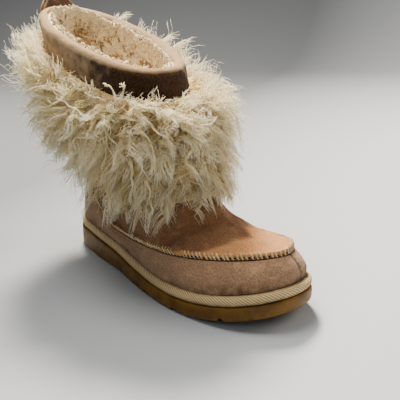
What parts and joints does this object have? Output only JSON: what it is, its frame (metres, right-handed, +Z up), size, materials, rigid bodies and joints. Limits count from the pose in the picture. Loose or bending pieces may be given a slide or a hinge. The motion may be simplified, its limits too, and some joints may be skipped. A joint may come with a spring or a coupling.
{
  "type": "sheepskin boot",
  "caption": "Right sheepskin boot with a flat moulded sole, suede upper, folded cuff and long wool around the shaft.",
  "frame": {"origin": "the middle of the heel's flat spot, on the floor", "axes": "+Z up, -Y towards the toe, +Y towards the heel, -X towards the outer side of the foot"},
  "size_m": [0.1683, 0.3021, 0.2299],
  "materials": {
    "outsole": "satin gum rubber with a matt scuffed edge",
    "midsole_wrap": "twill tape, matt",
    "fleece": "short curled shearling",
    "suede": "brushed suede, matt, worn",
    "cuff_suede": "brushed suede, matt, dark nap",
    "wool": "long wavy wool locks",
    "leather": "smooth dark leather"
  },
  "bodies": {
    "root": {"outsole": "outsole", "midsole": "midsole_wrap", "insole": "fleece", "upper": "suede", "cuff": "cuff_suede", "wool": "wool", "pull_tab": "leather"}
  },
  "joints": []
}
